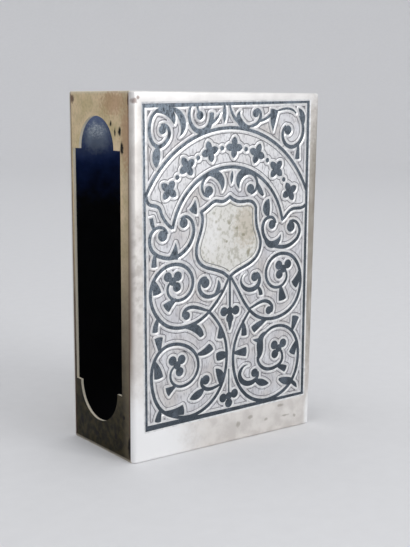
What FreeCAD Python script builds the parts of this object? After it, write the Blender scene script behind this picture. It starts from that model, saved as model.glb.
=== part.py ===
import FreeCAD, Part
import os
from math import atan2, cos, pi, radians, sin

# Outside of the case, standing on one of its open short ends with the ornament to the front
case_width = 39.2
case_depth = 19.6
case_height = 60.0

# Sheet silver: the two broad plates lap the edges of the two narrow walls
plate_thickness = 0.9
wall_thickness = 0.45
plate_side_radius = 0.8
plate_end_radius = 0.4
wall_end_radius = 0.2

# Solder left as a hollow bead in each inner corner
solder_leg = 0.5
solder_end_gap = 0.6

# Striker window in each narrow wall: straight sides between two round arches with square shoulders
window_front_margin = 2.5
window_back_margin = 0.7
window_sill_margin = 10.9
window_head_margin = 9.2
sill_shoulder = 1.4
head_shoulder = 1.95

# Niello: dark metal melted into recesses of the front plate, worn a little lower than the silver
niello_depth = 0.3
niello_sink = 0.06
line_width_share = 0.0145
line_height_share = 0.0095
straight_share = 0.01
flare_weight = 1.5
leaf_hollow_share = 0.1

# Border line, cut by hand a little askew: its outer corners from the lower left one round, as shares of
# the front face, and its breadth across and up at each corner in weights of the common line
border_shares = ((0.061, 0.086), (0.957, 0.099), (0.940, 0.979), (0.050, 0.968))
border_weights = ((0.8, 1.65), (-1.05, 0.85), (-1.05, -0.7), (0.8, -1.15))

# Arched band: the left end, crown and right end of its two lines and of the row of flowers
arch_outer_shares = ((0.0625, 0.729), (0.4975, 0.905), (0.937, 0.722))
arch_inner_shares = ((0.1975, 0.640), (0.4975, 0.799), (0.7975, 0.640))
flower_row_shares = ((0.179, 0.744), (0.4975, 0.852), (0.836, 0.722))
flower_count = 7
flower_petals = 4
petal_share = 0.045
petal_weights = (0.3, 2.2, 0)
flower_eye_weight = 0.8
berry_weight = 0.7

# Trefoils at the ends of the vines, in weights of the common line
heart_weight = 1.25
lobe_weight = 1.42
lobe_reach_weight = 2.25

# Directions, planes and sizes that follow
inward = FreeCAD.Vector(0, 1, 0)
front_y = -case_depth / 2
wall_length = case_depth - 2 * plate_thickness
inner_half_width = case_width / 2 - wall_thickness
inner_half_depth = case_depth / 2 - plate_thickness
line_width = min(case_width * line_width_share, case_height * line_height_share)


def place(across_share, up_share):
    """A point of the front face from shares of its width and height."""
    across = across_share * case_width - case_width / 2
    return FreeCAD.Vector(across, front_y, up_share * case_height)


def places(path_shares):
    """The points of a path on the front face."""
    return [place(*share) for share in path_shares]


def bow(first, middle, last):
    """An arc through three points, or a line where they lie straight."""
    lean = (middle - first).cross(last - first).Length
    if lean < (last - first).Length * line_width * straight_share:
        return Part.LineSegment(first, last)
    return Part.Arc(first, middle, last)


def spine(points):
    """The middle line of a stroke: one arc through three points, a smooth curve through more."""
    if len(points) == 3:
        return bow(*points)
    curve = Part.BSplineCurve()
    curve.interpolate(points)
    return curve


def stations(points, curve):
    """The points of a stroke with one more between each two, unless a single arc carries it."""
    if len(points) == 3:
        return points
    marks = [curve.parameter(point) for point in points]
    stops = [points[0]]
    for index in range(1, len(points)):
        stops.append(curve.value((marks[index - 1] + marks[index]) / 2))
        stops.append(points[index])
    return stops


def breadth(weights, along):
    """The width of a stroke at a share of its length, from its weights at start, belly and end."""
    start, belly, end = weights
    weight = start * (1 - along) * (1 - 2 * along)
    weight += 4 * belly * along * (1 - along)
    weight += end * along * (2 * along - 1)
    return weight * line_width


def tip(first, last, weight):
    """The end of a stroke: cut straight on a line, hollowed on a leaf that flares."""
    if weight < flare_weight:
        return Part.makeLine(first, last)
    dent = inward.cross(last - first) * leaf_hollow_share
    return Part.Arc(first, (first + last) / 2 + dent, last).toShape()


def stroke(weights, points):
    """A stroke of niello along the points, its two sides chains of arcs, pointed where a weight is nil."""
    curve = spine(points)
    stops = stations(points, curve)
    left = []
    right = []
    for index, stop in enumerate(stops):
        heading = curve.tangent(curve.parameter(stop))[0]
        reach = inward.cross(heading) * (breadth(weights, index / (len(stops) - 1)) / 2)
        left.append(stop + reach)
        right.insert(0, stop - reach)
    edges = []
    for side in (left, right):
        for index in range(0, len(side) - 1, 2):
            edges.append(bow(*side[index:index + 3]).toShape())
    if weights[0] > 0:
        edges.append(tip(right[-1], left[0], weights[0]))
    if weights[-1] > 0:
        edges.append(tip(left[-1], right[0], weights[-1]))
    outline = Part.Wire(Part.__sortEdges__(edges))
    return Part.Face(outline).extrude(inward * niello_depth)


def eye(point, weight):
    """A round eye or berry."""
    return Part.makeCylinder(weight * line_width, niello_depth, point, inward)


def joined(pieces):
    """Niello that runs together where its recesses meet."""
    return pieces[0].multiFuse(pieces[1:]).removeSplitter()


def scroll(weights, eye_weights, points):
    """A stroke that curls onto the rim of an eye at its start, its end or both."""
    curve = spine(points)
    pieces = [stroke(weights, points)]
    for path, weight in zip((points[::-1], points), eye_weights):
        if weight > 0:
            inside = inward.cross(curve.tangent(curve.parameter(path[-1]))[0])
            if inside.dot(path[-3] - path[-1]) < 0:
                inside = inside.negative()
            pieces.append(eye(path[-1] + inside * (weight * line_width), weight))
    return pieces


def vine(weights, angles, points):
    """A stem that ends in a trefoil: three berries round a heart, at angles in degrees from the right."""
    heart = points[-1]
    reach = lobe_reach_weight * line_width
    pieces = [stroke(weights, points), eye(heart, heart_weight)]
    for angle in map(radians, angles):
        pieces.append(eye(heart + FreeCAD.Vector(cos(angle), 0, sin(angle)) * reach, lobe_weight))
    return pieces


def inlay(vine_shares, scroll_shares=(), leaf_shares=(), berry_shares=()):
    """One group of ornament from its vines, scrolls, leaves and loose berries."""
    pieces = []
    for weights, angles, path_shares in vine_shares:
        pieces += vine(weights, angles, places(path_shares))
    for weights, eye_weights, path_shares in scroll_shares:
        pieces += scroll(weights, eye_weights, places(path_shares))
    for weights, path_shares in leaf_shares:
        pieces.append(stroke(weights, places(path_shares)))
    for across_share, up_share, weight in berry_shares:
        pieces.append(eye(place(across_share, up_share), weight))
    return joined(pieces)


def border():
    """The frame line round the whole ornament, thinner towards the right."""
    outer = places(border_shares)
    inner = []
    for corner, (across, up) in zip(outer, border_weights):
        inner.append(corner + FreeCAD.Vector(across, 0, up) * line_width)
    frames = []
    for corners in (outer, inner):
        outline = Part.makePolygon(corners + corners[:1])
        frames.append(Part.Face(outline).extrude(inward * niello_depth))
    return frames[0].cut(frames[-1])


def arch():
    """The two bowed lines of the band and its stepped ends."""
    left_end_shares = ((.069, .731), (.097, .706), (.130, .699), (.141, .684), (.163, .661), (.197, .642))
    right_end_shares = ((.793, .641), (.815, .651), (.842, .667), (.870, .672), (.900, .672), (.937, .683))
    lines_shares = (arch_outer_shares, arch_inner_shares, left_end_shares, right_end_shares)
    return joined([stroke((1, 1, 1), places(path_shares)) for path_shares in lines_shares])


def under_arch():
    """The field below the inner line of the arch, as deep as the niello."""
    line = places(arch_inner_shares)
    outline = Part.Wire([bow(*line).toShape(), Part.makeLine(line[-1], line[0])])
    return Part.Face(outline).extrude(inward * niello_depth)


def flower(middle, turn):
    """A four-petalled flower standing square to the band."""
    petal = petal_share * case_width
    pieces = [eye(middle, flower_eye_weight)]
    for index in range(flower_petals):
        angle = turn + index * 2 * pi / flower_petals
        reach = FreeCAD.Vector(cos(angle), 0, sin(angle)) * petal
        pieces.append(stroke(petal_weights, [middle, middle + reach / 2, middle + reach]))
    return joined(pieces)


def band_flowers():
    """A row of flowers round the band with a berry between each two."""
    row = bow(*places(flower_row_shares))
    step = (row.LastParameter - row.FirstParameter) / (flower_count - 1)
    pieces = []
    for index in range(flower_count):
        mark = row.FirstParameter + index * step
        heading = row.tangent(mark)[0]
        pieces.append(flower(row.value(mark), atan2(heading.z, heading.x)))
        if index > 0:
            pieces.append(eye(row.value(mark - step / 2), berry_weight))
    return Part.makeCompound(pieces)


def shield():
    """The line round the bare shield."""
    sides_shares = (
        ((.500, .719), (.478, .709), (.452, .705), (.423, .708), (.392, .699), (.362, .686), (.342, .681)),
        ((.342, .683), (.352, .650), (.338, .617), (.323, .587), (.324, .557), (.347, .535), (.395, .521),
         (.449, .510), (.500, .488)),
        ((.495, .719), (.519, .708), (.548, .702), (.579, .702), (.605, .702), (.644, .680)),
        ((.643, .683), (.645, .650), (.653, .622), (.672, .590), (.668, .560), (.640, .535), (.597, .520),
         (.548, .508), (.497, .488)),
    )
    return joined([stroke((1, 1, 1), places(path_shares)) for path_shares in sides_shares])


def corner_scroll_left():
    """Scrolls and leaves above the left half of the arch."""
    scroll_shares = (
        ((.9, 1.15, .7), (1.23, 0),  # spiral
         ((.140, .912), (.168, .910), (.181, .893), (.163, .870), (.125, .858), (.094, .873),
          (.083, .905), (.096, .935), (.125, .952), (.163, .957))),
    )
    leaf_shares = (
        ((.5, 2.7, .2),  # mass
         ((.117, .946), (.173, .949), (.204, .915))),
        ((.3, 2.1, 0),  # crescent
         ((.184, .957), (.235, .938), (.250, .913), (.230, .883))),
        ((.6, 2.7, 0),  # bud
         ((.125, .858), (.117, .833), (.117, .803))),
        ((.7, 1.5, 1.6),  # bowl
         ((.290, .964), (.279, .937), (.291, .913), (.319, .898), (.349, .897), (.379, .908),
          (.392, .925), (.395, .945))),
        ((.9, .7, .8),  # neck
         ((.319, .964), (.324, .953), (.333, .942))),
        ((.5, .9, 0),  # twig
         ((.388, .915), (.416, .927), (.441, .948))),
        ((.5, 1.3, 0),  # drop
         ((.462, .968), (.462, .942), (.462, .917))),
    )
    berry_shares = ((.334, .938, 1.23),)
    return inlay((), scroll_shares, leaf_shares, berry_shares)


def corner_scroll_right():
    """Scrolls and leaves above the right half of the arch."""
    scroll_shares = (
        ((.7, 1.1, .6), (1.19, 0),  # hook
         ((.633, .955), (.658, .943), (.653, .925), (.625, .912), (.592, .908))),
        ((.8, 1.2, .8), (1.4, 0),  # spiral
         ((.806, .908), (.786, .887), (.801, .860), (.842, .849), (.885, .862), (.906, .892),
          (.898, .920), (.883, .937))),
    )
    leaf_shares = (
        ((.5, .9, .9),  # stalk
         ((.489, .968), (.504, .942), (.536, .920))),
        ((.2, 2.1, .5),  # leaf
         ((.548, .950), (.538, .930), (.559, .913), (.602, .908))),
        ((.6, .8, .8),  # branch
         ((.648, .922), (.681, .927), (.719, .942))),
        ((3, 2.2, 0),  # blade
         ((.736, .952), (.730, .925), (.730, .893))),
        ((.4, .7, .4),  # hair
         ((.742, .948), (.791, .956), (.837, .954), (.862, .943))),
        ((0, 1.8, .5),  # flame
         ((.875, .958), (.895, .943), (.906, .913))),
        ((.8, 1.4, 1.8),  # thorn
         ((.880, .855), (.878, .835), (.876, .815))),
    )
    return inlay((), scroll_shares, leaf_shares)


def crest_scroll_left():
    """Scroll under the left half of the arch, with the middle leaf."""
    scroll_shares = (
        ((.8, .9, .9), (1.49, 0),  # scroll
         ((.385, .722), (.357, .730), (.348, .750), (.362, .770), (.393, .782))),
    )
    leaf_shares = (
        ((.6, 2.4, 0),  # blade
         ((.380, .779), (.446, .768), (.453, .733))),
        ((.2, 1.1, 0),  # leaf
         ((.508, .788), (.506, .770), (.504, .752))),
    )
    return inlay((), scroll_shares, leaf_shares).common(under_arch())


def crest_scroll_right():
    """Scroll under the right half of the arch, with its tail leaf."""
    scroll_shares = (
        ((.8, .9, .9), (1.4, 0),  # scroll
         ((.610, .723), (.638, .732), (.647, .750), (.633, .770), (.599, .780))),
    )
    leaf_shares = (
        ((.6, 2.2, 0),  # blade
         ((.615, .777), (.546, .768), (.548, .737))),
        ((.5, 1.7, .6),  # tail
         ((.645, .753), (.659, .735), (.684, .715))),
    )
    return inlay((), scroll_shares, leaf_shares).common(under_arch())


def shoulder_scroll_left():
    """Double volute left of the shield, with its leaves."""
    scroll_shares = (
        ((.8, 1.15, .8), (1.61, 1.44),  # volute
         ((.171, .627), (.143, .646), (.107, .642), (.084, .617), (.097, .585), (.140, .567),
          (.204, .562), (.268, .582), (.304, .620), (.300, .653), (.273, .670), (.240, .664))),
    )
    leaf_shares = (
        ((3.2, 1.7, 0),  # spike
         ((.204, .561), (.212, .582), (.214, .603))),
        ((.8, 1.3, 1.2),  # upper leaf
         ((.107, .640), (.097, .657), (.091, .673))),
        ((.8, 1.5, 1.9),  # lower leaf
         ((.112, .578), (.107, .560), (.105, .542))),
        ((0, 1.7, 3.2),  # arrow
         ((.312, .715), (.310, .698), (.301, .682))),
    )
    return inlay((), scroll_shares, leaf_shares)


def shoulder_scroll_right():
    """Double volute right of the shield, with its leaves."""
    scroll_shares = (
        ((.8, 1.25, .8), (1.4, 1.61),  # volute
         ((.758, .633), (.727, .652), (.694, .643), (.684, .617), (.704, .588), (.755, .568),
          (.816, .562), (.872, .575), (.903, .602), (.888, .628), (.839, .633))),
    )
    leaf_shares = (
        ((.3, 2.2, 0),  # crescent
         ((.696, .593), (.755, .573), (.791, .600))),
        ((0, 2.7, .6),  # arrow
         ((.717, .705), (.704, .685), (.717, .655))),
    )
    return inlay((), scroll_shares, leaf_shares)


def upper_vine_left():
    """Upper left vine, from below the shield round to its trefoil."""
    vine_shares = (
        ((.9, 1.1, .7), (140, 38, -50),  # stem
         ((.496, .488), (.458, .445), (.418, .415), (.357, .383), (.268, .366), (.179, .373),
          (.120, .405), (.089, .450), (.094, .492), (.143, .531), (.224, .543), (.288, .520),
          (.304, .490), (.286, .458), (.237, .443), (.189, .453), (.173, .475), (.181, .490),
          (.200, .497))),
    )
    scroll_shares = (
        ((.6, 1.3, .7), (0, 1.54),  # small scroll
         ((.462, .457), (.426, .446), (.388, .442), (.352, .453), (.337, .475), (.349, .493),
          (.378, .496))),
        ((.6, 1.1, .8), (0, 1.26),  # loop
         ((.393, .402), (.362, .408), (.321, .417), (.283, .418), (.258, .408), (.254, .395))),
    )
    leaf_shares = (
        ((.5, 2.2, 3),  # crescent
         ((.099, .507), (.112, .488), (.121, .468))),
        ((.8, 2, 3.2),  # arrow
         ((.219, .447), (.191, .437), (.166, .425))),
        ((.8, 1.6, 1.9),  # spur
         ((.128, .402), (.115, .383), (.110, .363))),
        ((.4, 2.5, 1.5),  # branch
         ((.263, .363), (.321, .357), (.355, .332))),
        ((0, 1.4, .6),  # small leaf
         ((.439, .487), (.444, .470), (.423, .448))),
    )
    return inlay(vine_shares, scroll_shares, leaf_shares)


def upper_vine_right():
    """Upper right vine, from below the shield round to its trefoil."""
    vine_shares = (
        ((.9, 1.1, .7), (146, 36, 226),  # stem
         ((.508, .491), (.571, .428), (.612, .392), (.658, .367), (.727, .353), (.811, .358),
          (.883, .387), (.913, .427), (.915, .475), (.875, .525), (.804, .543), (.732, .525),
          (.709, .483), (.742, .450), (.798, .446), (.832, .470), (.827, .488), (.811, .497))),
    )
    scroll_shares = (
        ((.7, 1.5, 0), (1.4, 0),  # small scroll
         ((.653, .495), (.671, .480), (.663, .457), (.628, .447), (.589, .453), (.566, .473),
          (.592, .497))),
        ((.6, 1.1, .8), (0, 1.26),  # loop
         ((.617, .392), (.653, .400), (.694, .408), (.730, .403), (.750, .388), (.746, .372))),
    )
    leaf_shares = (
        ((.5, 2.3, 3),  # crescent
         ((.908, .487), (.898, .462), (.878, .445))),
        ((.7, 2.2, 3.2),  # trapezoid
         ((.796, .447), (.804, .427), (.811, .405))),
        ((.4, 1.9, 2.3),  # branch
         ((.724, .353), (.681, .342), (.640, .327))),
        ((.8, 1.3, 1.6),  # small leaf
         ((.663, .452), (.676, .442), (.681, .428))),
    )
    return inlay(vine_shares, scroll_shares, leaf_shares)


def lower_vine_left():
    """Lower left vine, round to its trefoil."""
    vine_shares = (
        ((.9, 1.1, .7), (136, 44, -66),  # stem
         ((.390, .400), (.444, .362), (.474, .327), (.490, .287), (.491, .242), (.472, .188),
          (.429, .145), (.362, .115), (.286, .104), (.204, .115), (.138, .142), (.102, .188),
          (.092, .243), (.115, .292), (.168, .318), (.247, .317), (.314, .290), (.337, .250),
          (.311, .213), (.250, .197), (.202, .210), (.189, .235), (.202, .253), (.224, .260))),
    )
    scroll_shares = (
        ((.6, 1.2, .8), (0, 1.49),  # small scroll
         ((.467, .183), (.418, .174), (.383, .175), (.358, .188), (.360, .210))),
    )
    leaf_shares = (
        ((.5, 1.6, 2.2),  # spur
         ((.452, .355), (.455, .337), (.454, .318))),
        ((1.4, 2.8, 2.4),  # bud
         ((.490, .267), (.464, .266), (.437, .264))),
        ((.7, 2.1, 2.6),  # leaf
         ((.332, .282), (.370, .285), (.406, .298))),
        ((.8, 1.9, 3),  # top leaf
         ((.135, .305), (.131, .325), (.129, .345))),
        ((.5, 2.3, 3.2),  # crescent
         ((.108, .282), (.121, .258), (.129, .233))),
        ((.8, 1.6, 3),  # tail
         ((.219, .203), (.196, .195), (.173, .188))),
        ((0, 2.7, 1),  # fin
         ((.431, .230), (.457, .210), (.462, .178))),
        ((.7, 2.6, 0),  # teardrop
         ((.367, .177), (.334, .163), (.291, .155))),
        ((.8, 1.7, 2.3),  # foot
         ((.140, .142), (.131, .127), (.125, .108))),
        ((.4, 1.8, 3.2),  # wedge
         ((.153, .134), (.204, .127), (.258, .128))),
    )
    return inlay(vine_shares, scroll_shares, leaf_shares)


def lower_vine_right():
    """Lower right vine, round to its trefoil."""
    vine_shares = (
        ((1, 1.1, .7), (146, 40, 228),  # hook
         ((.672, .243), (.684, .218), (.724, .201), (.778, .202), (.816, .218), (.815, .243),
          (.796, .258))),
    )
    scroll_shares = (
        ((0, 1.7, .7), (0, 1.37),  # small scroll
         ((.620, .223), (.584, .218), (.568, .198), (.584, .177), (.628, .167), (.666, .177),
          (.675, .198))),
    )
    leaf_shares = (
        ((.9, 1.15, .9),  # stem
         ((.620, .387), (.571, .343), (.541, .303), (.529, .258), (.541, .200), (.579, .153),
          (.643, .118), (.719, .105), (.804, .115), (.870, .142), (.908, .188), (.915, .242),
          (.890, .292), (.839, .320), (.773, .327), (.709, .307))),
        ((1, 2.7, 1),  # mass
         ((.719, .312), (.684, .287), (.684, .262), (.673, .237))),
        ((1.3, 1.3, 0),  # barb
         ((.694, .292), (.668, .293), (.640, .297))),
        ((.7, 1.8, 2.2),  # tail
         ((.788, .205), (.816, .198), (.842, .190))),
        ((.4, 2, 2.8),  # crescent
         ((.906, .277), (.893, .255), (.878, .235))),
        ((.8, 2.1, 3),  # top leaf
         ((.875, .305), (.886, .327), (.895, .347))),
        ((.4, 1.6, 2.2),  # fin
         ((.579, .360), (.587, .340), (.589, .315))),
        ((.7, 2, 3),  # bud
         ((.533, .267), (.566, .266), (.602, .265))),
        ((.6, 2.6, 1.6),  # foot
         ((.801, .162), (.847, .152), (.890, .148))),
        ((.9, 1.4, 0),  # toe
         ((.878, .147), (.898, .138), (.916, .123))),
        ((.7, 2.3, 0),  # small tail
         ((.661, .173), (.702, .161), (.742, .155))),
    )
    return inlay(vine_shares, scroll_shares, leaf_shares)


def centre_stem():
    """Upright stem on the middle line with a fleur at each end."""
    vine_shares = (
        ((.7, .8, .8), (180, 0, 270),  # stem
         ((.504, .488), (.505, .442), (.507, .393))),
        ((.5, .5, .6), (188, 12, 270),  # low stem
         ((.506, .223), (.507, .183), (.508, .141))),
    )
    leaf_shares = (
        ((1.2, 1.8, 0),  # drop
         ((.508, .393), (.508, .365), (.508, .335))),
    )
    return inlay(vine_shares, (), leaf_shares)


def plate():
    """A broad plate at the front of the case, its outer sides and ends rounded."""
    middle = front_y + plate_thickness / 2
    corner = FreeCAD.Vector(-case_width / 2, front_y, 0)
    sheet = Part.makeBox(case_width, plate_thickness, case_height, corner)
    outer = [edge for edge in sheet.Edges if edge.BoundBox.YMax < middle]
    sides = [edge for edge in outer if edge.BoundBox.ZLength > case_height / 2]
    sheet = sheet.makeFillet(plate_side_radius, sides)
    outer = [edge for edge in sheet.Edges if edge.BoundBox.YMax < middle]
    ends = [edge for edge in outer if edge.BoundBox.XLength > case_width / 2]
    return sheet.makeFillet(plate_end_radius, ends)


def let_in(inlays):
    """Each group of niello, stopped where its lines run into those of an earlier group."""
    earlier = []
    for name, niello in inlays.items():
        for other in earlier:
            if niello.BoundBox.intersect(other.BoundBox):
                niello = niello.cut(other)
        inlays[name] = niello
        earlier.append(niello)
    return inlays


def front_plate(inlays):
    """The front plate with a recess for every niello line."""
    return plate().cut(Part.makeCompound(inlays))


def sunk(niello):
    """Niello worn lower than the face of the plate."""
    corner = FreeCAD.Vector(-case_width / 2, front_y, 0)
    return niello.cut(Part.makeBox(case_width, niello_sink, case_height, corner))


def back_plate():
    """The plain back plate."""
    return plate().mirror(FreeCAD.Vector(), inward)


def window(outside_x):
    """The striker window as a solid through the wall."""
    front = -wall_length / 2 + window_front_margin
    back = wall_length / 2 - window_back_margin
    middle = (front + back) / 2
    sill = window_sill_margin
    head = case_height - window_head_margin
    sill_radius = (back - front) / 2 - sill_shoulder
    head_radius = (back - front) / 2 - head_shoulder

    def at(along, height):
        return FreeCAD.Vector(outside_x, along, height)

    head_arch = [
        at(middle - head_radius, head),
        at(middle, head + head_radius),
        at(middle + head_radius, head),
    ]
    sill_arch = [
        at(middle + sill_radius, sill),
        at(middle, sill - sill_radius),
        at(middle - sill_radius, sill),
    ]
    edges = [
        Part.makeLine(at(front, sill), at(front, head)),
        Part.makeLine(at(front, head), head_arch[0]),
        Part.Arc(*head_arch).toShape(),
        Part.makeLine(head_arch[-1], at(back, head)),
        Part.makeLine(at(back, head), at(back, sill)),
        Part.makeLine(at(back, sill), sill_arch[0]),
        Part.Arc(*sill_arch).toShape(),
        Part.makeLine(sill_arch[-1], at(front, sill)),
    ]
    return Part.Face(Part.Wire(edges)).extrude(FreeCAD.Vector(wall_thickness, 0, 0))


def left_wall():
    """The narrow wall between the plates, pierced by the striker window."""
    outside_x = -case_width / 2
    corner = FreeCAD.Vector(outside_x, -wall_length / 2, 0)
    sheet = Part.makeBox(wall_thickness, wall_length, case_height, corner)
    outer = [edge for edge in sheet.Edges if edge.BoundBox.XMax < outside_x + wall_thickness / 2]
    ends = [edge for edge in outer if edge.BoundBox.YLength > wall_length / 2]
    return sheet.makeFillet(wall_end_radius, ends).cut(window(outside_x))


def right_wall():
    """The opposite wall, a mirror image."""
    return left_wall().mirror(FreeCAD.Vector(), FreeCAD.Vector(1, 0, 0))


def solder_seam(side_x, side_y):
    """A hollow bead of solder along one inner corner."""
    corner = FreeCAD.Vector(side_x * inner_half_width, side_y * inner_half_depth, solder_end_gap)
    on_plate = corner - FreeCAD.Vector(side_x * solder_leg, 0, 0)
    on_wall = corner - FreeCAD.Vector(0, side_y * solder_leg, 0)
    centre = FreeCAD.Vector(on_plate.x, on_wall.y, corner.z)
    hollow = centre + (corner - centre).normalize() * solder_leg
    edges = [
        Part.makeLine(corner, on_plate),
        Part.Arc(on_plate, hollow, on_wall).toShape(),
        Part.makeLine(on_wall, corner),
    ]
    length = case_height - 2 * solder_end_gap
    return Part.Face(Part.Wire(edges)).extrude(FreeCAD.Vector(0, 0, length))


def build():
    """Every piece of the case by name."""
    inlays = let_in({
        "niello_border": border(),
        "niello_arch": arch(),
        "niello_band_flowers": band_flowers(),
        "niello_shield": shield(),
        "niello_corner_scroll_left": corner_scroll_left(),
        "niello_corner_scroll_right": corner_scroll_right(),
        "niello_crest_scroll_left": crest_scroll_left(),
        "niello_crest_scroll_right": crest_scroll_right(),
        "niello_shoulder_scroll_left": shoulder_scroll_left(),
        "niello_shoulder_scroll_right": shoulder_scroll_right(),
        "niello_upper_vine_left": upper_vine_left(),
        "niello_upper_vine_right": upper_vine_right(),
        "niello_lower_vine_left": lower_vine_left(),
        "niello_lower_vine_right": lower_vine_right(),
        "niello_centre_stem": centre_stem(),
    })
    pieces = {
        "front_plate": front_plate(list(inlays.values())),
        "back_plate": back_plate(),
        "left_wall": left_wall(),
        "right_wall": right_wall(),
        "solder_front_left": solder_seam(-1, -1),
        "solder_front_right": solder_seam(1, -1),
        "solder_back_left": solder_seam(-1, 1),
        "solder_back_right": solder_seam(1, 1),
    }
    pieces.update({name: sunk(niello) for name, niello in inlays.items()})
    return pieces


os.makedirs("parts", exist_ok=True)
for name, shape in build().items():
    shape.exportStep("parts/" + name + ".step")
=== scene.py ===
"""Looks of a silver matchbox holder with niello scrollwork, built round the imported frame.

Lengths and places are in millimetres, and shares go from 0 to 1.
"""

import logging
import math
from dataclasses import dataclass, replace
from enum import Enum

import bmesh
import bpy
import numpy as np
from mathutils import Matrix, Vector
from mathutils.bvhtree import BVHTree
from mathutils.geometry import delaunay_2d_cdt


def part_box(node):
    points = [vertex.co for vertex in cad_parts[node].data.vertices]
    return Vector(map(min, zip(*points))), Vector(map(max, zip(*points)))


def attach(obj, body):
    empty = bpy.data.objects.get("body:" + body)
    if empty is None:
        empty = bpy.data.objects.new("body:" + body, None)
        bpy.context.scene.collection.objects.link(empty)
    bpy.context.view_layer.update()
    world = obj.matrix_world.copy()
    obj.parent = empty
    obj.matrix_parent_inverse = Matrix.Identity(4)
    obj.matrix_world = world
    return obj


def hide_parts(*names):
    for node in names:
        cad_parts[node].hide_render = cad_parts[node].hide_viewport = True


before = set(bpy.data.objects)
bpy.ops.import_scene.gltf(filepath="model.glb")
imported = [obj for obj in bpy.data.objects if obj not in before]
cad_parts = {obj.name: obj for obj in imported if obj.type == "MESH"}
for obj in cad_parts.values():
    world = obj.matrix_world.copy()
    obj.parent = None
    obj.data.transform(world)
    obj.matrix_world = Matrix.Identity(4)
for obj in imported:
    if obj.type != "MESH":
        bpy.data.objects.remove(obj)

MM = 0.001
LOG = logging.getLogger("matchbox_holder")
Colour = tuple[float, float, float]
Place = tuple[float, float, float]
Point = tuple[float, float]
Step = tuple[int, int, int]
Sides = dict[tuple[int, int], list[int]]
Object = bpy.types.Object
Material = bpy.types.Material
Socket = bpy.types.NodeSocket
Value = Socket | float


def tone(red: int, green: int, blue: int) -> Colour:
    """Turns a colour as the eye reads it, from 0 to 255, into linear light from 0 to 1."""
    shares = [value / 255 for value in (red, green, blue)]
    return tuple(s / 12.92 if s <= 0.04045 else ((s + 0.055) / 1.055) ** 2.4 for s in shares)


def settle(work: bmesh.types.BMesh, mesh: bpy.types.Mesh, reach: float) -> Object:
    """Welds a mesh, turns its faces outwards, smooths it and puts it into the scene.

    Args:
        work: The mesh at work, which is freed.
        mesh: The mesh that takes it.
        reach: How near two points lie that become one.

    Returns:
        The object, named as its mesh.
    """
    bmesh.ops.remove_doubles(work, verts=work.verts, dist=reach * MM)
    bmesh.ops.recalc_face_normals(work, faces=work.faces)
    work.to_mesh(mesh)
    work.free()
    mesh.polygons.foreach_set("use_smooth", [True] * len(mesh.polygons))
    settled = bpy.data.objects.new(mesh.name, mesh)
    bpy.context.scene.collection.objects.link(settled)
    return settled


TAN = tone(150, 142, 129)
OLIVE = tone(152, 148, 126)


class Zone(Enum):
    """Zones of the engraved front, by the place of their material on it."""

    GROUND = 0
    BEVEL = 1
    LINE = 2
    SHIELD = 3
    MARGIN = 4
    INSIDE = 5


class Sheet(Enum):
    """The plain sheets of the case, by the way that their outer face looks along X or Y."""

    LEFT_WALL = ("X", -1.0)
    RIGHT_WALL = ("X", 1.0)
    BACK_PLATE = ("Y", 1.0)


@dataclass(frozen=True)
class Cloud:
    """A soft random pattern.

    Its patches have one size and finer layers, are drawn out along X, Y and Z, and show between two levels
    if it has any. The seed tells it from others.
    """

    size: float
    layers: float = 3.0
    stretch: Place = (1.0, 1.0, 1.0)
    seed: float = 0.0
    levels: Point | None = None


@dataclass(frozen=True)
class Coat:
    """A colour that is laid over another, and the most of it that there is, as a share."""

    colour: Colour
    share: float = 1.0


@dataclass(frozen=True)
class Mark:
    """The place of a stained, pitted or painted-light spot along its face and up, and its half width and
    half height.
    """

    along: float
    up: float
    half_width: float
    half_height: float


@dataclass(frozen=True)
class StainsAndPaintedLight:
    """Spots of one coat, stains or painted light, and how far their rims wander, as a share of their size.
    """

    coat: Coat
    marks: tuple[Mark, ...]
    ragged: float = 0.9


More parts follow.
